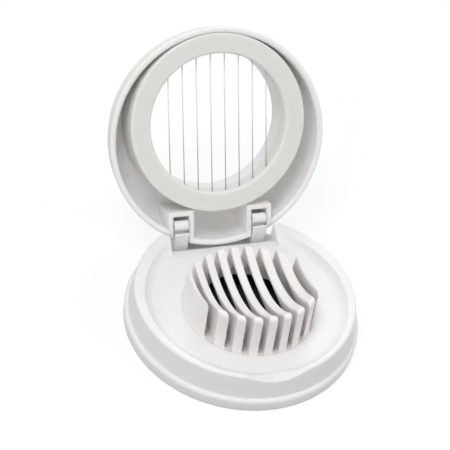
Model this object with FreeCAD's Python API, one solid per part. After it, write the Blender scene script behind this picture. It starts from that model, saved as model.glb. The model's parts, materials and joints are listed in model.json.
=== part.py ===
"""Round hinged egg slicer: a tray with a ribbed egg cradle, and a lid that carries a ring of taut wires."""
import FreeCAD, Part
import math
import os

V = FreeCAD.Vector
X_AXIS = V(1, 0, 0)
Y_AXIS = V(0, 1, 0)
Z_AXIS = V(0, 0, 1)
ORIGIN = V(0, 0, 0)

# Shared walls and clearances
wall = 2.0
seat_gap = 0.15
body_gap = 0.3
soft_edge = 0.8
past = 40.0

# Tray: foot flange, drafted side, rim, and a shallow dish that sits forward of the middle
foot_radius = 57.0
foot_height = 6.2
foot_edge_round = 1.6
ledge_width = 2.0
rim_height = 18.7
rim_inset = 3.6
rim_round = 1.2
rim_land = 4.6
dish_slope_width = 4.0
dish_slope_bow = 0.7
dish_depth = 3.2
dish_forward = 2.6
scoop_width = 30.0
scoop_depth = 3.0

# Lid in its closed place, its axis a little behind the tray's
lid_back = 4.0
lip_gap = 0.4
lip_overhang = 1.2
lip_thickness = 2.2
lip_round = 1.1
lip_bevel = 0.8
lip_step = 0.8
lid_wall = 2.2
lid_height = 21.0
shoulder_radius = 13.0

# Window, wire ring and wires
ring_forward = 7.5
ring_margin = 7.3
ring_width = 9.9
ring_skirt = 1.8
ring_face_thickness = 1.2
ring_proud = 0.6
window_round = 1.4
collar_depth = 8.0
collar_step = 0.5
wire_count = 8
wire_pitch = 7.1
wire_diameter = 0.5
wire_behind_lip = 1.8
wire_hole_gap = 0.05
bead_radius = 0.8

# Hinge: two knuckles on the tray, two hooded pockets in the lid, one pin each
hinge_inset = 10.33
hinge_above_rim = 1.55
open_angle = 117.7
knuckle_middle = 20.3
knuckle_width = 7.2
knuckle_radius = 2.6
pin_radius = 0.8
pin_running_gap = 0.06
pocket_side_gap = 0.5
cheek_thickness = 2.4
pocket_reach = 5.0
pocket_height = 12.5
hood_proud = 0.4
post_reach = 4.67
post_top_drop = 2.05
post_plate = 1.2
slit_depth = 4.5
column_front = 1.2

# Swing bay at the back of the tray, which the lid's rear edge turns down into
bay_side_gap = 0.5
bay_shoulder = 3.2
bay_shoulder_reach = 4.2
bay_slope_start = 17.2
bay_slope_drop = 5.9
bay_slope_bow = 0.9
bay_stop_gap = 0.35

# Egg cradle: upright at front and back, leaning in at the sides, with a hollow for the egg and wire slots
cradle_forward = 6.0
cradle_margin = 2.9
cradle_height = 31.0
cradle_top_forward = 1.0
cradle_top_half_width = 30.6
cradle_top_half_length = 28.7
side_foot_margin = 0.4
side_top_half_width = 24.9
side_half_length = 60.0
cradle_flange_width = 1.5
cradle_flange_thickness = 1.9
slot_width = 3.0
slot_floor_height = 0.6
hollow_radius = 50.0
hollow_back = 2.8
hollow_above_floor = 6.1
rib_depth = 1.8
rib_end_round = 1.8
rib_lean_height = 22.0
drop_hole_radius = 22.5
drop_hole_forward = 5.0

# Places worked out from the sizes above
rim_radius = foot_radius - rim_inset
dish_mouth_radius = rim_radius - rim_land
lip_radius = rim_radius + lip_overhang
lid_wall_radius = lip_radius - lip_step
dish_floor = rim_height - dish_depth
floor_under = dish_floor - wall
lip_plane = rim_height + lip_gap
lid_top = lip_plane + lid_height
trough_floor = lid_top - lid_wall
lid_inner_radius = lid_wall_radius - lid_wall
ring_radius = lid_inner_radius - ring_margin
window_radius = ring_radius - ring_width
cradle_radius = window_radius - cradle_margin
hinge_back = foot_radius - hinge_inset
shoulder_reach = lid_wall_radius - shoulder_radius
shoulder_level = lid_top - shoulder_radius
hinge_z = rim_height + hinge_above_rim
hinge = V(0, hinge_back, hinge_z)
open_turn = math.radians(-open_angle)
lid_lowest = (hinge_z + (lid_back + shoulder_reach - hinge_back) * math.sin(open_turn)
              + (shoulder_level - hinge_z) * math.cos(open_turn) - shoulder_radius)
bay_floor = lid_lowest - bay_stop_gap
lip_rest = (hinge_back + (lid_back + lip_radius - hinge_back) * math.cos(open_turn)
            - (lip_plane - hinge_z) * math.sin(open_turn))
ring_middle = lid_back - ring_forward
ring_face = lip_plane - ring_proud
collar_end = lip_plane + collar_depth
wire_z = lip_plane + wire_behind_lip
hood_face = lip_plane - hood_proud
pocket_inner = knuckle_middle - knuckle_width / 2 - pocket_side_gap
pocket_outer = knuckle_middle + knuckle_width / 2 + pocket_side_gap
hood_inner = pocket_inner - cheek_thickness
hood_outer = pocket_outer + cheek_thickness
hood_front = hinge_back - pocket_reach - cheek_thickness
hood_back = hinge_back + knuckle_radius + soft_edge
bay_half_width = hood_outer + bay_side_gap
cradle_top = dish_floor + cradle_height
hollow_middle = V(0, hollow_back, dish_floor + hollow_above_floor + hollow_radius)
wire_places = [wire_pitch * (number - (wire_count - 1) / 2) for number in range(wire_count)]


def outline(places, points):
    """Closed wire through places. Where a point has a third value, its place is the middle of an arc."""
    edges = []
    here = places[0]
    through = None
    for place, point in zip(places[1:] + places[:1], points[1:] + points[:1]):
        if len(point) == 3:
            through = place
            continue
        edges.append(Part.Arc(here, through, place).toShape() if through else Part.makeLine(here, place))
        here = place
        through = None
    return Part.Wire(edges)


def revolve(points, middle_y):
    """Solid of revolution about the upright axis at middle_y, from (radius, height) points."""
    places = [V(point[0], 0, point[1]) for point in points]
    solid = Part.Face(outline(places, points)).revolve(ORIGIN, Z_AXIS, 360)
    solid.translate(V(0, middle_y, 0))
    return solid


def corner(middle, radius, degrees):
    """The point half-way round a rounded corner about middle."""
    turn = math.radians(degrees)
    return (middle[0] + radius * math.cos(turn), middle[1] + radius * math.sin(turn), "arc")


def bowed(start, end, bow):
    """The point half-way along an arc from start to end that bows to the left of its direction."""
    run = (end[0] - start[0], end[1] - start[1])
    length = math.hypot(run[0], run[1])
    middle = ((start[0] + end[0]) / 2, (start[1] + end[1]) / 2)
    return (middle[0] - run[1] / length * bow, middle[1] + run[0] / length * bow, "arc")


def block(x0, x1, y0, y1, z0, z1):
    return Part.makeBox(x1 - x0, y1 - y0, z1 - z0, V(x0, y0, z0))


def rod_x(radius, x0, x1):
    """Round bar on the hinge axis."""
    return Part.makeCylinder(radius, x1 - x0, hinge + X_AXIS * x0, X_AXIS)


def disc(radius, middle_y, low, high):
    return Part.makeCylinder(radius, high - low, V(0, middle_y, low))


def mirrored(shape):
    return shape.mirror(ORIGIN, X_AXIS)


def tray_outside():
    foot = (foot_radius - foot_edge_round, foot_height - foot_edge_round)
    rim = (rim_radius - rim_round, rim_height - rim_round)
    return revolve([
        (0, 0), (foot_radius, 0), (foot_radius, foot[1]), corner(foot, foot_edge_round, 45),
        (foot[0], foot_height), (foot_radius - ledge_width, foot_height),
        (rim_radius, rim[1]), corner(rim, rim_round, 45),
        (rim[0], rim_height), (0, rim_height)], 0)


def tray_underside():
    """The outside drawn in by one wall and open below."""
    inner_foot = foot_radius - ledge_width - wall
    return revolve([
        (0, -past), (inner_foot, -past), (inner_foot, foot_height), (rim_radius - wall, rim_height - wall),
        (0, rim_height - wall)], 0)


def dish(margin):
    """The dish; with a margin, the dish and the wall round it."""
    mouth = (dish_mouth_radius + margin, rim_height)
    foot = (mouth[0] - dish_slope_width, dish_floor - margin)
    return revolve([
        (0, foot[1]), foot, bowed(foot, mouth, -dish_slope_bow), mouth, (mouth[0], rim_height + past),
        (0, rim_height + past)], -dish_forward)


def thumb_scoop(margin):
    """Dip in the front of the rim, round across and level from front to back."""
    half = scoop_width / 2
    radius = (half ** 2 + scoop_depth ** 2) / (2 * scoop_depth)
    middle = V(0, -foot_radius - past, rim_height - scoop_depth + radius)
    return Part.makeCylinder(radius + margin, foot_radius + past - cradle_radius, middle, Y_AXIS)


def profile_x(points, x0, x1):
    """Solid drawn from (y, z) points in a side view and drawn out across from x0 to x1."""
    face = Part.Face(outline([V(x0, point[0], point[1]) for point in points], points))
    return face.extrude(X_AXIS * (x1 - x0))


def swing_bay(margin):
    """Room for the lid's rear edge, with a sloping front; with a margin, the room and its walls."""
    half = bay_half_width + margin
    far = foot_radius + past
    top = rim_height + past
    start = (hinge_back - bay_slope_start - margin, dish_floor - margin)
    step = (lip_rest - bay_stop_gap - margin, dish_floor - bay_slope_drop - margin)
    low = bay_floor - margin
    middle = profile_x([
        (start[0], top), start, bowed(start, step, bay_slope_bow), step,
        (step[0], low), (far, low), (far, top)], -half, half)
    wide = half + bay_shoulder
    return middle.fuse(block(-wide, wide, hinge_back - bay_shoulder_reach - margin, far, low, top))


def hinge_post():
    """A knuckle on its column, with a plate in front of it and a slit between the two."""
    left = knuckle_middle - knuckle_width / 2
    right = left + knuckle_width
    front = hinge_back - post_reach
    back = hinge_back + knuckle_radius
    low = bay_floor - wall / 2
    plate_top = hinge_z - post_top_drop
    column = hinge_back - column_front
    post = profile_x([
        (front, low), (front, plate_top), (front + post_plate, plate_top),
        (front + post_plate, plate_top - slit_depth), (column, plate_top - slit_depth),
        (column, hinge_z), (back, hinge_z), (back, low)], left, right)
    return post.fuse(rod_x(knuckle_radius, left, right))


def make_base_tray():
    outside = tray_outside()
    tray = outside.cut(tray_underside().cut([dish(wall), thumb_scoop(wall)]))
    tray = tray.fuse(swing_bay(wall).common(outside))
    tray = tray.cut([dish(0), swing_bay(0), thumb_scoop(0)])
    tray = tray.fuse([hinge_post(), mirrored(hinge_post())])
    cradle_hole = disc(cradle_radius + seat_gap, -cradle_forward, floor_under - wall, rim_height)
    bore = rod_x(pin_radius + pin_running_gap, -foot_radius, foot_radius)
    return tray.cut([cradle_hole, bore])


def oval(height, forward, half_width, half_length):
    """Level oval on the cradle's middle, or a little forward of it."""
    middle = V(0, -cradle_forward - forward, height)
    across = X_AXIS * half_width
    along = Y_AXIS * half_length
    if half_width > half_length:
        return Part.Wire(Part.Ellipse(middle + across, middle + along, middle).toShape())
    return Part.Wire(Part.Ellipse(middle + along, middle - across, middle).toShape())


def cradle_block():
    """Round at the tray's floor, upright at front and back and leaning in at the sides."""
    foot = Part.Wire(Part.makeCircle(cradle_radius, V(0, -cradle_forward, dish_floor)))
    round_block = Part.makeLoft(
        [foot, oval(cradle_top, cradle_top_forward, cradle_top_half_width, cradle_top_half_length)], True)
    leaning_sides = Part.makeLoft(
        [oval(dish_floor, 0, cradle_radius + side_foot_margin, side_half_length),
         oval(cradle_top, 0, side_top_half_width, side_half_length)], True)
    return round_block.common(leaning_sides)


def cradle_edge(x, z, side):
    """Where the cradle's front (side -1) or back (side 1) lies, at a place across and a height."""
    share = (z - dish_floor) / cradle_height
    across = cradle_radius + (cradle_top_half_width - cradle_radius) * share
    along = cradle_radius + (cradle_top_half_length - cradle_radius) * share
    return side * along * math.sqrt(1 - (x / across) ** 2) - cradle_forward - cradle_top_forward * share


def rib_end(x0, x1, side):
    """What comes off one end of a rib, at the front (side -1) or the back (side 1), to round it over."""
    x = (x0 + x1) / 2
    z = dish_floor + rib_lean_height
    here = V(x, cradle_edge(x, z, side), z)
    along = V(x1 - x0, cradle_edge(x1, z, side) - cradle_edge(x0, z, side), 0).normalize()
    higher = V(0, cradle_edge(x, z + rib_end_round, side) - here.y, rib_end_round)
    up = (higher - along * along.dot(higher)).normalize()
    inward = along.cross(up) * side
    aside = along.dot(hollow_middle - here)
    ball = hollow_middle - along * aside
    away = here + inward * rib_end_round - ball
    clear = math.sqrt(hollow_radius ** 2 - aside ** 2) + rib_end_round
    rise = -up.dot(away) - math.sqrt(up.dot(away) ** 2 - away.dot(away) + clear ** 2)
    middle = ball + away + up * rise
    to_ball = (ball - middle).normalize()
    low = middle - inward * rib_end_round
    top = middle + to_ball * rib_end_round
    half_way = middle + (to_ball - inward).normalize() * rib_end_round
    out = inward * -past
    off = to_ball * past
    straight = Part.makePolygon([low, low + out, low + out + off, top + off, top]).Edges
    face = Part.Face(Part.Wire(straight + [Part.Arc(top, half_way, low).toShape()]))
    reach = (x1 - x0 + slot_width) / 2 / along.x
    face.translate(along * -reach)
    return face.extrude(along * (2 * reach))


def drop_hole():
    """Opening below the ribs, arched across so that every rib is as thin at the hollow's bottom."""
    high = hollow_middle.z
    arch = Part.makeCylinder(hollow_radius + rib_depth, 2 * foot_radius, V(0, -foot_radius, high), Y_AXIS)
    return disc(drop_hole_radius, -drop_hole_forward, -past, high).cut(arch)


def make_egg_cradle():
    body = cradle_block().cut(Part.makeSphere(hollow_radius, hollow_middle, X_AXIS))
    half = slot_width / 2
    ends = []
    for left, right in zip(wire_places, wire_places[1:]):
        ends += [rib_end(left + half, right - half, side) for side in (-1, 1)]
    body = body.cut(ends)
    plug = disc(cradle_radius, -cradle_forward, floor_under, dish_floor)
    flange_low = floor_under - cradle_flange_thickness
    flange = disc(cradle_radius + cradle_flange_width, -cradle_forward, flange_low, floor_under)
    body = body.fuse([plug, flange])
    slot_low = dish_floor + slot_floor_height
    slots = [block(place - half, place + half, -foot_radius, foot_radius, slot_low, cradle_top + past)
             for place in wire_places]
    return body.cut(slots + [drop_hole()])


def lid_outside():
    lip = (lip_radius - lip_round, lip_plane + lip_round)
    shoulder = (shoulder_reach, shoulder_level)
    return revolve([
        (0, lip_plane), (lip[0], lip_plane), corner(lip, lip_round, -45), (lip_radius, lip[1]),
        (lip_radius, lip_plane + lip_thickness), (lid_wall_radius, lip_plane + lip_thickness),
        (lid_wall_radius, shoulder_level), corner(shoulder, shoulder_radius, 45), (shoulder_reach, lid_top),
        (0, lid_top)], lid_back)


def lid_inside(inset, bevel):
    """Room inside the lid, drawn in by inset, with a bevel at the lip."""
    radius = lid_inner_radius - inset
    level = trough_floor - inset
    shoulder = (shoulder_reach, shoulder_level)
    return revolve([
        (0, lip_plane - past), (radius + bevel, lip_plane - past), (radius + bevel, lip_plane),
        (radius, lip_plane + lip_bevel), (radius, shoulder_level),
        corner(shoulder, radius - shoulder_reach, 45), (shoulder_reach, level), (0, level)], lid_back)


def hinge_hood():
    """Walls round one pocket, standing a little proud of the lip beside the knuckle."""
    proud = block(hood_inner, hood_outer, hood_front, hood_back, hood_face, lip_plane + lip_thickness)
    deep = block(hood_inner, hood_outer, hood_front, foot_radius + past, lip_plane, lid_top)
    return deep.common(lid_outside()).fuse(proud)


def hinge_pocket():
    return block(pocket_inner, pocket_outer, hinge_back - pocket_reach, foot_radius + past,
                 hood_face - past, lip_plane + pocket_height)


def make_lid_shell():
    outside = lid_outside()
    collar_radius = window_radius + collar_step
    collar = disc(collar_radius + wall, ring_middle, collar_end, lid_top).common(outside)
    shell = outside.cut(lid_inside(0, lip_bevel))
    shell = shell.fuse([collar, hinge_hood(), mirrored(hinge_hood())])
    window = disc(collar_radius, ring_middle, lip_plane - past, lid_top + past)
    shell = shell.cut([window, hinge_pocket(), mirrored(hinge_pocket())])
    pin_hole = rod_x(pin_radius, hood_inner, hood_outer - soft_edge)
    return shell.cut([pin_hole, mirrored(pin_hole)])


def make_wire_ring():
    """Channel-shaped ring: a flat face, an inner skirt to the collar and an outer skirt to the trough."""
    inside = (window_radius + window_round, ring_face + window_round)
    outside = (ring_radius - soft_edge, ring_face + soft_edge)
    face_back = ring_face + ring_face_thickness
    skirt_inside = ring_radius - ring_skirt
    ring = revolve([
        (window_radius, collar_end), (window_radius, inside[1]), corner(inside, window_round, 225),
        (inside[0], ring_face), (outside[0], ring_face), corner(outside, soft_edge, -45),
        (ring_radius, outside[1]), (ring_radius, lid_top),
        (skirt_inside, lid_top), (skirt_inside, face_back),
        (window_radius + wall, face_back), (window_radius + wall, collar_end)], ring_middle)
    ring = ring.common(lid_inside(body_gap, lip_bevel))
    hole_radius = wire_diameter / 2 + wire_hole_gap
    reach = window_radius + wall
    holes = [Part.makeCylinder(hole_radius, 2 * reach, V(place, ring_middle - reach, wire_z), Y_AXIS)
             for place in wire_places]
    return ring.cut(holes)


def make_wire(place):
    """A taut wire across the window, with a crimped bead behind the inner skirt at each end."""
    half = math.sqrt((window_radius + wall) ** 2 - (abs(place) - bead_radius) ** 2) + bead_radius
    wire = Part.makeCylinder(wire_diameter / 2, 2 * half, V(place, ring_middle - half, wire_z), Y_AXIS)
    beads = [Part.makeSphere(bead_radius, V(place, ring_middle + end, wire_z)) for end in (-half, half)]
    return wire.fuse(beads)


def opened(shape):
    """A lid piece turned from its closed place to rest open on the back of the tray."""
    shape.rotate(hinge, X_AXIS, -open_angle)
    return shape


def make_parts():
    pin = rod_x(pin_radius, hood_inner + soft_edge, hood_outer - soft_edge)
    parts = {
        "base_tray": make_base_tray(),
        "egg_cradle": make_egg_cradle(),
        "lid_shell": opened(make_lid_shell()),
        "wire_ring": opened(make_wire_ring()),
        "hinge_pin_left": mirrored(pin),
        "hinge_pin_right": pin,
    }
    for number, place in enumerate(wire_places, start=1):
        parts[f"wire_{number}"] = opened(make_wire(place))
    return parts


def main():
    os.makedirs("parts", exist_ok=True)
    for name, shape in make_parts().items():
        shape = shape.removeSplitter()
        print(name, "solids", len(shape.Solids), "valid", shape.isValid(), "volume", round(shape.Volume, 1))
        shape.exportStep(f"parts/{name}.step")


if __name__ == "__main__":
    main()
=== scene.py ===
# %% [markdown]
# # A round egg slicer, seen open
#
# The slicer's solids come from CAD as a fixed frame: a tray with an egg cradle, and a lid whose ring holds
# eight cutting wires. This lesson dresses them in moulded white plastic, polishes the cradle's ribs round and
# strings the lid with drawn steel wire. It then lights the slicer in a plain white studio and looks at it
# from the photograph's angle.

# %% Load the frame
import bpy
import json
import math
from mathutils import Matrix, Vector


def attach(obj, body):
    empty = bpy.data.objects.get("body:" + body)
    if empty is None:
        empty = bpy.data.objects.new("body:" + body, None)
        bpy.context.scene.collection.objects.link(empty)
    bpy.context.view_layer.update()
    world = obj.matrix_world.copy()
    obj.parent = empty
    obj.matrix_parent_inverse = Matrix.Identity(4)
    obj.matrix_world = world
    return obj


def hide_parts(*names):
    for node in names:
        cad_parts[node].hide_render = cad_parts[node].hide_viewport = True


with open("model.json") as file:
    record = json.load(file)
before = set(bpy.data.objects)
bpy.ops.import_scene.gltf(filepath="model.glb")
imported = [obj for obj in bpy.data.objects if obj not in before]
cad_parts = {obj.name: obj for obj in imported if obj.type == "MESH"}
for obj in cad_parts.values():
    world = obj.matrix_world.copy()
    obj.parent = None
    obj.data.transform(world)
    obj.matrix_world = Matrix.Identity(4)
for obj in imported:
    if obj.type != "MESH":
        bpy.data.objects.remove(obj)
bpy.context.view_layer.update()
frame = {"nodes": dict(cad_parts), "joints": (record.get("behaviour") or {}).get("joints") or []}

# %% [markdown]
# ## A small language for nodes
#
# Every finish below is a little sum of patterns. Such sums could be wired up node by node, but they read best
# as arithmetic. So one class wraps an output socket, turns the operators into Math nodes, and has one method
# that makes every other node. Colours go through a Mix node, because a Math node would turn them grey.

# %% Socket wrapper


class Socket:
    """An output socket of a node tree that can be added, multiplied and so on."""

    def __init__(self, tree, socket=None):
        self.tree = tree
        self.socket = socket

    def node(self, kind, output=0, inputs=None, **settings):
        """Makes a node, sets its properties and its inputs, and returns one of its outputs.

        An input takes a value, a Socket, or a list of Sockets that all go into it.
        """
        made = self.tree.nodes.new(kind)
        for name, value in settings.items():
            setattr(made, name, value)
        for name, value in (inputs or {}).items():
            if isinstance(value, (Socket, list)):
                for source in value if isinstance(value, list) else [value]:
                    self.tree.links.new(source.socket, made.inputs[name])
            else:
                made.inputs[name].default_value = value
        return Socket(self.tree, made.outputs[output] if len(made.outputs) else None)

    def maths(self, operation, other=0.0, swap=False):
        first, second = (other, self) if swap else (self, other)
        return self.node("ShaderNodeMath", inputs={0: first, 1: second}, operation=operation)

    def __add__(self, other):
        return self.maths("ADD", other)

    def __radd__(self, other):
        return self.maths("ADD", other, True)

    def __sub__(self, other):
        return self.maths("SUBTRACT", other)

    def __rsub__(self, other):
        return self.maths("SUBTRACT", other, True)

    def __mul__(self, other):
        return self.maths("MULTIPLY", other)

    def __rmul__(self, other):
        return self.maths("MULTIPLY", other, True)

    def __truediv__(self, other):
        return self.maths("DIVIDE", other)

    def __rtruediv__(self, other):
        return self.maths("DIVIDE", other, True)

    def power(self, exponent):
        return self.maths("POWER", exponent)

    def absolute(self):
        return self.maths("ABSOLUTE")

    def clamp(self):
        return self.node("ShaderNodeClamp", inputs={"Value": self})

    def blend(self, first, second):
        """A colour that goes from first to second as this value goes from 0 to 1."""
        return self.node("ShaderNodeMix", 2, {0: self, 6: first, 7: second}, data_type="RGBA")

    def part(self, axis):
        """One of the three numbers of a vector: 0 for X, 1 for Y, 2 for Z."""
        return self.node("ShaderNodeSeparateXYZ", axis, {0: self})

    def into(self, socket):
        self.tree.links.new(self.socket, socket)


print("wrapper", Socket.__name__, "knows", "+ - * /")

# %% [markdown]
# ## Where a pattern starts
#
# A pattern has to know where on a piece it is. An unwrapped UV map could tell it, but the solids come without
# one. So patterns read Object coordinates, in metres. Every piece sits at the origin with its place in its
# mesh, and a pattern stays fixed on the plastic when the lid swings. Noise is enough for the finishes here.

# %% Material helpers


def new_material(name):
    """A material whose Principled shader is ready, with object coordinates to build on."""
    material = bpy.data.materials.new(name)
    material.use_nodes = True
    tree = material.node_tree
    shader = tree.nodes["Principled BSDF"]
    start = Socket(tree)
    place = start.node("ShaderNodeTexCoord", "Object")
    return material, shader, start, place


def noise(start, place, scale, detail=3.0, stretch=(1, 1, 1)):
    moved = start.node("ShaderNodeMapping", inputs={"Vector": place, "Scale": stretch})
    return start.node("ShaderNodeTexNoise", "Fac", {"Vector": moved, "Scale": scale, "Detail": detail})


print("helpers", new_material.__name__, noise.__name__)

# %% [markdown]
# ## White plastic
#
# The mouldings are satin plastic, a little warm, and milky where they are thin. One flat white would look
# like plaster, so slow noise shifts the shade, as plastic does where it cooled unevenly, and a fine grain
# changes the shine and lifts the surface. Moulded edges are never sharp. A Bevel modifier could round them,
# but the Bevel node turns the surface where two faces meet, which costs no faces and leaves the solids as
# they are. Light scatters a little way into the plastic and out again, which fills the lid's trough softly.

# %% Make the plastics
cloud_scale = 45.0
grain_scale = 1800.0
grain_detail = 2.0
grain_shine = 0.12
cloud_shine = 0.08
grain_lift = {"Strength": 0.04, "Distance": 0.0002}
edge_samples = 6
plastic_sheen = 0.3
milk_depth = 0.003
milk_spread = (1.0, 0.97, 0.92)


def plastic(name, bright, shade, rough, edge, milky):
    """White plastic between two shades, with edges that look rounded to the radius edge."""
    material, shader, start, place = new_material(name)
    cloudy = noise(start, place, cloud_scale)
    grain = noise(start, place, grain_scale, grain_detail)
    cloudy.blend(shade, bright).into(shader.inputs["Base Color"])
    shine = rough + (grain - 0.5) * grain_shine + (cloudy - 0.5) * cloud_shine
    shine.clamp().into(shader.inputs["Roughness"])
    turned = start.node("ShaderNodeBevel", inputs={"Radius": edge}, samples=edge_samples)
    lift = start.node("ShaderNodeBump", inputs={"Height": grain, "Normal": turned, **grain_lift})
    lift.into(shader.inputs["Normal"])
    shader.inputs["Specular IOR Level"].default_value = plastic_sheen
    shader.inputs["Subsurface Weight"].default_value = milky
    shader.inputs["Subsurface Radius"].default_value = milk_spread
    shader.inputs["Subsurface Scale"].default_value = milk_depth
    return material


white = plastic("white plastic", bright=(0.91, 0.905, 0.90, 1), shade=(0.885, 0.88, 0.875, 1),
                rough=0.42, edge=0.0007, milky=0.45)
cradle_white = plastic("cradle plastic", bright=(0.90, 0.89, 0.885, 1), shade=(0.87, 0.86, 0.855, 1),
                       rough=0.42, edge=0.0004, milky=0.1)
ring_white = plastic("ring plastic", bright=(0.85, 0.845, 0.815, 1), shade=(0.825, 0.82, 0.79, 1),
                     rough=0.46, edge=0.0011, milky=0.45)
print("plastics", white.name, cradle_white.name, ring_white.name)

# %% [markdown]
# ## Painted shade in the slots
#
# The walls of the cradle's slots are painted darker than the tops of its ribs, as painted shade where the
# narrow slots hold shadow. They could be picked out face by face. The slots lie at an even pitch along X,
# though, so the distance to the nearest slot's middle is a short sum on the X coordinate, and that gives the
# mask.

# %% Paint shade into the cradle's slots
wire_pitch = 0.0071
outermost_wire = 0.02485
slot_reach = 0.0017
slot_fade = 0.0003
slot_shade_strength = 0.8
# colour of the painted shade in the slots, standing in for their shadow
slot_shade_colour = (0.62, 0.585, 0.57, 1)


def paint_slot_shade(material):
    """Paints shade into a plastic's colour in the slots: the first lie half a pitch either side of the
    middle.
    """
    tree = material.node_tree
    colour = tree.nodes["Principled BSDF"].inputs["Base Color"]
    across = Socket(tree).node("ShaderNodeTexCoord", "Object").part(0)
    turns = (across / wire_pitch).maths("FRACT")
    away = (turns - 0.5).absolute() * wire_pitch
    among = across.absolute().maths("LESS_THAN", outermost_wire + slot_reach)
    inside = ((slot_reach - away) / slot_fade).clamp() * among
    # painted shade: the slots' base colour is blended towards the shade colour
    (inside * slot_shade_strength).blend(Socket(tree, colour.links[0].from_socket), slot_shade_colour).into(colour)


paint_slot_shade(cradle_white)
print("slots given painted shade", round(2 * outermost_wire / wire_pitch) + 1)

# %% [markdown]
# ## Drawn steel
#
# The wires and the two hinge pins are bright steel, pulled through a die that leaves faint streaks. Plain
# grey metal would do from afar, but it looks like a mirror close by. Noise that is stretched along the wire
# gives the streaks, and they change both the tone and the shine.

# %% Make the steel
streak_scale = 900.0
streak_detail = 2.0
streak_stretch = (1, 0.05, 0.05)
steel_dark = (0.42, 0.42, 0.425, 1)
steel_light = (0.64, 0.64, 0.65, 1)
steel_rough = 0.28
streak_rough = 0.2
steel_metallic = 0.85


def steel(name):
    material, shader, start, place = new_material(name)
    drawn = noise(start, place, streak_scale, streak_detail, streak_stretch)
    drawn.blend(steel_dark, steel_light).into(shader.inputs["Base Color"])
    (steel_rough + drawn * streak_rough).into(shader.inputs["Roughness"])
    shader.inputs["Metallic"].default_value = steel_metallic
    return material


wire_steel = steel("drawn steel")
print("steel", wire_steel.name)

# %% [markdown]
# ## Mouldings and pins
#
# The tray, the lid and the ring are smooth mouldings, and the pins are short round rods. They could be built
# again from meshes, but their solids already show them well, so they keep the solids and only take a finish.
# The cradle and the wires get copies of their own further down. Their solids are dressed here as well, so
# that nothing is left plain.

# %% Dress the solids
wire_names = [f"wire_{number}" for number in range(1, 9)]
finishes = {"base_tray": white, "lid_shell": white, "wire_ring": ring_white, "egg_cradle": cradle_white}
finishes.update({name: wire_steel for name in ["hinge_pin_left", "hinge_pin_right"] + wire_names})


def dress(name, material):
    mesh = frame["nodes"][name].data
    mesh.materials.clear()
    mesh.materials.append(material)


for name, material in finishes.items():
    dress(name, material)
print("dressed", len(finishes), "of", len(frame["nodes"]))

# %% [markdown]
# ## Egg cradle
#
# The cradle's nine ribs carry the egg, and every edge on them is rounded so that it doesn't mark the egg. A
# Bevel modifier could round them, but it breaks where the ribs' curved ends meet the hollow. So a copy of the
# solid is rebuilt as an even skin of small faces and smoothed above the tray's floor. The skin is drawn in a
# little at the seat, so the seat is let out again until it meets the tray with a fine seam.

# %% Polish the cradle
skin_grid = 0.00046
polish_passes = 10
polish_factor = 0.5
cradle_seat = 0.0159
cradle_axis = Vector((0, -0.006))
let_out = 1.006


def worked_in(piece):
    """Makes the piece's modifiers part of its mesh."""
    made = bpy.data.meshes.new_from_object(piece.evaluated_get(bpy.context.evaluated_depsgraph_get()))
    piece.modifiers.clear()
    piece.data = made
    return made


def shade_smooth(mesh):
    for face in mesh.polygons:
        face.use_smooth = True


def polished_cradle():
    """The cradle's solid as an even skin, smoothed above its seat so that every edge is round."""
    piece = bpy.data.objects.new("cradle_polished", frame["nodes"]["egg_cradle"].data.copy())
    bpy.context.scene.collection.objects.link(piece)
    skin = piece.modifiers.new("skin", "REMESH")
    skin.mode = "VOXEL"
    skin.voxel_size = skin_grid
    worked_in(piece)
    above = piece.vertex_groups.new(name="above the seat")
    above.add([vertex.index for vertex in piece.data.vertices if vertex.co.z > cradle_seat], 1.0, "REPLACE")
    polish = piece.modifiers.new("polish", "SMOOTH")
    polish.factor = polish_factor
    polish.iterations = polish_passes
    polish.vertex_group = above.name
    made = worked_in(piece)
    piece.vertex_groups.clear()
    for vertex in made.vertices:
        if vertex.co.z < cradle_seat:
            vertex.co.xy = cradle_axis + (vertex.co.xy - cradle_axis) * let_out
    made.materials.clear()
    made.materials.append(cradle_white)
    shade_smooth(made)
    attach(piece, "base")
    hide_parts("egg_cradle")
    print("cradle faces", len(made.polygons))


polished_cradle()

# %% [markdown]
# ## A row of wires
#
# Eight thin wires cross the round window, each as long as the window is wide there, with a crimped bead at
# both ends. They could be drawn one by one. They follow one rule, though, so a node group lays them out: a
# line of points at the wires' pitch, a cylinder on each point that is drawn out to the window's width, and a
# bead at either end.

# %% Node group for the wires
rod_sides = 12
unit_rod = 2.0  # from -1 to 1, so that its scale is half the length of a wire
bead_segments, bead_rings = 16, 10
wire_inputs = {"Count": "NodeSocketInt", "Pitch": "NodeSocketFloat", "Window": "NodeSocketFloat",
               "Radius": "NodeSocketFloat", "Bead": "NodeSocketFloat", "Material": "NodeSocketMaterial"}


def laid_rods(start, row, half, radius):
    """A thin rod along Y on each point of the row, drawn out by half to either side."""
    rod = start.node("GeometryNodeMeshCylinder",
                     inputs={"Vertices": rod_sides, "Radius": radius, "Depth": unit_rod})
    lying = start.node("GeometryNodeTransform",
                       inputs={"Geometry": rod, "Rotation": (math.radians(90), 0, 0)})
    drawn_out = start.node("ShaderNodeCombineXYZ", inputs={0: 1.0, 1: half, 2: 1.0})
    return start.node("GeometryNodeInstanceOnPoints",
                      inputs={"Points": row, "Instance": lying, "Scale": drawn_out})


def laid_beads(start, row, half, bead, end):
    """A bead at one end of each rod: -1 for the ends at lower Y, 1 for the others."""
    ball = start.node("GeometryNodeMeshUVSphere",
                      inputs={"Segments": bead_segments, "Rings": bead_rings, "Radius": bead})
    place = start.node("ShaderNodeCombineXYZ", inputs={1: half * end})
    moved = start.node("GeometryNodeSetPosition", inputs={"Geometry": row, "Offset": place})
    return start.node("GeometryNodeInstanceOnPoints", inputs={"Points": moved, "Instance": ball})


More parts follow.
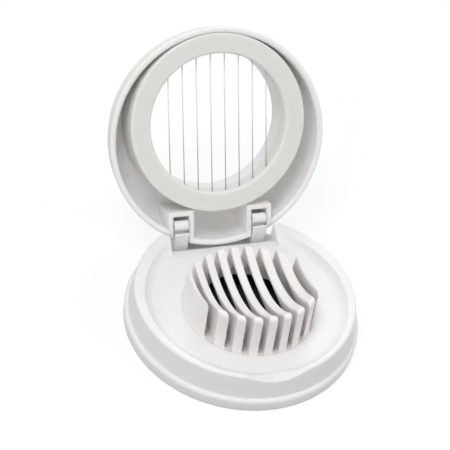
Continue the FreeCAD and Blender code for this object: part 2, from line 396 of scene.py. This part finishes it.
def wire_group():
    """Node group that makes a row of wires across a round window, along Y, about the origin."""
    group = bpy.data.node_groups.new("wires across a window", "GeometryNodeTree")
    sockets = {}
    for name, kind in wire_inputs.items():
        sockets[name] = group.interface.new_socket(name, in_out="INPUT", socket_type=kind).identifier
    group.interface.new_socket("Geometry", in_out="OUTPUT", socket_type="NodeSocketGeometry")
    start = Socket(group)
    given = start.node("NodeGroupInput").socket.node
    count, pitch, window, radius, bead, material = (Socket(group, given.outputs[name]) for name in sockets)
    first = start.node("ShaderNodeCombineXYZ", inputs={0: pitch * (1 - count) / 2})
    step = start.node("ShaderNodeCombineXYZ", inputs={0: pitch})
    row = start.node("GeometryNodeMeshLine",
                     inputs={"Count": count, "Start Location": first, "Offset": step})
    across = start.node("GeometryNodeInputPosition").part(0)
    half = (window.power(2.0) - across.power(2.0)).power(0.5) + bead
    laid = [laid_rods(start, row, half, radius)]
    laid += [laid_beads(start, row, half, bead, end) for end in (-1.0, 1.0)]
    joined = start.node("GeometryNodeJoinGeometry", inputs={0: laid})
    real = start.node("GeometryNodeRealizeInstances", inputs={"Geometry": joined})
    done = start.node("GeometryNodeSetMaterial", inputs={"Geometry": real, "Material": material})
    start.node("NodeGroupOutput", inputs={0: done})
    return group, sockets


wires_group, wire_sockets = wire_group()
print("group", wires_group.name, "nodes", len(wires_group.nodes))

# %% [markdown]
# ## Wires in the lid
#
# On the real slicer the wires lie flat when the lid is shut, and lean back with it when it is open. They
# could be laid out at the lid's lean, but flat sizes are easier to read. So the group lays the row flat about
# the origin, and the row is moved to the middle of a wire's solid with the lid shut. It is then turned open
# about the hinge, whose place and range the frame gives, and rides the lid from there.

# %% Lay out the wires
wire_sizes = {"Count": len(wire_names), "Pitch": wire_pitch, "Window": 0.0364, "Radius": 0.00025,
              "Bead": 0.0008, "Material": wire_steel}
middle_wire = "wire_4"


def lid_shut():
    """The turn about the hinge that shuts the open lid."""
    joint = frame["joints"][0]
    pivot = Vector(joint["pos_m"])
    turn = Matrix.Rotation(math.radians(joint["range_deg"][1]), 4, "X")
    return Matrix.Translation(pivot) @ turn @ Matrix.Translation(-pivot)


def cutting_wires(names):
    shut = lid_shut()
    ends = [shut @ vertex.co for vertex in frame["nodes"][middle_wire].data.vertices]
    middle = [(min(c) + max(c)) / 2 for c in zip(*ends)]
    piece = bpy.data.objects.new("cutting_wires", bpy.data.meshes.new("cutting_wires"))
    bpy.context.scene.collection.objects.link(piece)
    layout = piece.modifiers.new("layout", "NODES")
    layout.node_group = wires_group
    for name, value in wire_sizes.items():
        layout[wire_sockets[name]] = value
    made = worked_in(piece)
    made.transform(shut.inverted() @ Matrix.Translation((0, middle[1], middle[2])))
    shade_smooth(made)
    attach(piece, "lid")
    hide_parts(*names)
    print("wires", len(names), "faces", len(made.polygons))


cutting_wires(wire_names)

# %% [markdown]
# ## Floor
#
# The slicer stands on a white sweep with no horizon. More light would bleach the floor, but it would bleach
# the plastic too. So rays from the camera, and those that metal mirrors, see a glow mixed into the floor, and
# the rest of the mix still takes the slicer's shadow. Under the tray the floor is painted dark, a painted
# shade like the shadow inside the hollow foot, so that the slots look deep.

# %% Lay the floor
under_tray = 0.056
floor_half = 6
floor_level = -0.0002
# painted shade: the floor's colour under the tray, standing in for the shadow inside the hollow foot
floor_painted_shade = (0.05, 0.05, 0.05, 1)
floor_pale = (0.9, 0.9, 0.9, 1)
floor_paleness = 0.5
floor_spread = 0.1
spread_scale = 3.0
glow_strength = 1.27
glow_share = 0.65
pure_white = (1, 1, 1, 1)


def seen_directly(start):
    """1 where the camera sees a thing, also in a mirror or through glass, and 0 where it only lights."""
    rays = start.node("ShaderNodeLightPath", "Is Camera Ray")
    for kind in ("Is Glossy Ray", "Is Transmission Ray"):
        rays = rays.maths("MAXIMUM", start.node("ShaderNodeLightPath", kind))
    return rays


def floor_finish():
    material, shader, start, place = new_material("studio white")
    across, along = place.part(0), place.part(1)
    outside = (across * across + along * along).maths("GREATER_THAN", under_tray ** 2)
    paleness = outside * (floor_paleness + noise(start, place, spread_scale) * floor_spread)
    # painted shade under the tray, and a pale floor outside it
    paleness.blend(floor_painted_shade, floor_pale).into(shader.inputs["Base Color"])
    shader.inputs["Roughness"].default_value = 1.0
    shader.inputs["Specular IOR Level"].default_value = 0.0
    glow = start.node("ShaderNodeEmission", inputs={"Color": pure_white, "Strength": glow_strength})
    matt = Socket(start.tree, shader.outputs[0])
    mask = seen_directly(start) * outside * glow_share
    pale = start.node("ShaderNodeMixShader", inputs={0: mask, 1: matt, 2: glow})
    pale.into(start.tree.nodes["Material Output"].inputs["Surface"])
    return material


def studio_floor():
    mesh = bpy.data.meshes.new("studio_floor")
    signs = ((-1, -1), (1, -1), (1, 1), (-1, 1))
    corners = [(x * floor_half, y * floor_half, floor_level) for x, y in signs]
    mesh.from_pydata(corners, [], [(0, 1, 2, 3)])
    mesh.materials.append(floor_finish())
    floor = bpy.data.objects.new("studio_floor", mesh)
    bpy.context.scene.collection.objects.link(floor)
    print("floor", floor.name, "half width", floor_half)


studio_floor()

# %% [markdown]
# ## Light
#
# The photograph was lit softly from all round, most of all from above. One lamp would leave the inside of the
# lid dark, so a pale world gives the fill. A lamp above and to the left brightens the dish and the ribs, two
# lamps in front light the lid, and one behind lights the far rim. Wide lamps cast soft shadows. The light
# from above and behind is a touch cool, and the rest a touch warm.

# %% Set the lights
cool = (0.965, 0.965, 1.0)
warm = (1.0, 0.985, 0.955)
lamp_aim = Vector((0, 0.02, 0.03))
fill_strength = 0.43
backdrop_strength = 1.1
lamps = (  # name, place, width, watts and tint
    ("top", (-0.3, -0.1, 1.0), 0.4, 3.8, cool),
    ("left", (-0.7, -0.5, 0.5), 0.5, 1.6, warm),
    ("right", (0.7, -0.4, 0.5), 0.5, 1.6, warm),
    ("back", (0.35, 0.8, 0.8), 0.5, 2.6, cool),
)


def studio_light(name, place, size, power, tint):
    lamp = bpy.data.lights.new(name, "AREA")
    lamp.size = size
    lamp.energy = power
    lamp.color = tint
    holder = bpy.data.objects.new(name, lamp)
    holder.location = place
    holder.rotation_mode = "QUATERNION"
    holder.rotation_quaternion = (lamp_aim - Vector(place)).to_track_quat("-Z", "Y")
    bpy.context.scene.collection.objects.link(holder)


def studio_world():
    world = bpy.data.worlds.new("studio")
    bpy.context.scene.world = world
    world.use_nodes = True
    world.node_tree.nodes.clear()
    start = Socket(world.node_tree)
    around = start.node("ShaderNodeBackground", inputs={"Color": (*warm, 1), "Strength": fill_strength})
    plain = start.node("ShaderNodeBackground", inputs={"Color": pure_white, "Strength": backdrop_strength})
    mixed = start.node("ShaderNodeMixShader", inputs={0: seen_directly(start), 1: around, 2: plain})
    start.node("ShaderNodeOutputWorld", inputs={"Surface": mixed})


studio_world()
for lamp in lamps:
    studio_light(*lamp)
print("lamps", [lamp[0] for lamp in lamps])

# %% [markdown]
# ## Camera
#
# The photograph looks down at the slicer from the front left. The camera could be set by eye, but then no
# edge would lie quite in its place. So its place, angles and focal length were fitted to the slicer's round
# edges, which show as ellipses. The focal length in pixels and the photograph's width set the lens.

# %% Place the camera
photo_pixels = 450
sensor_width = 36.0
clip_near, clip_far = 0.05, 30
camera_place = Vector((-0.17935, -0.38109, 0.44809))
focal_pixels = 1261.4
azimuth, elevation, roll = (math.radians(angle) for angle in (-23.103, 42.799, 10.300))


def photo_camera():
    """A camera that looks down at the slicer, turned by azimuth, elevation and roll."""
    flat = math.cos(elevation)
    back = Vector((math.sin(azimuth) * flat, -math.cos(azimuth) * flat, math.sin(elevation)))
    level = Vector((math.cos(azimuth), math.sin(azimuth), 0))
    upright = back.cross(level)
    across = math.cos(roll) * level + math.sin(roll) * upright
    upward = -math.sin(roll) * level + math.cos(roll) * upright
    turned = Matrix((across, upward, back)).transposed().to_4x4()
    camera = bpy.data.cameras.new("photo_camera")
    camera.sensor_width = sensor_width
    camera.lens = focal_pixels / photo_pixels * sensor_width
    camera.clip_start, camera.clip_end = clip_near, clip_far
    holder = bpy.data.objects.new("photo_camera", camera)
    holder.matrix_world = Matrix.Translation(camera_place) @ turned
    bpy.context.scene.collection.objects.link(holder)
    bpy.context.scene.camera = holder
    print("lens", round(camera.lens, 1), "mm")


photo_camera()
bpy.context.scene.view_settings.view_transform = "Standard"
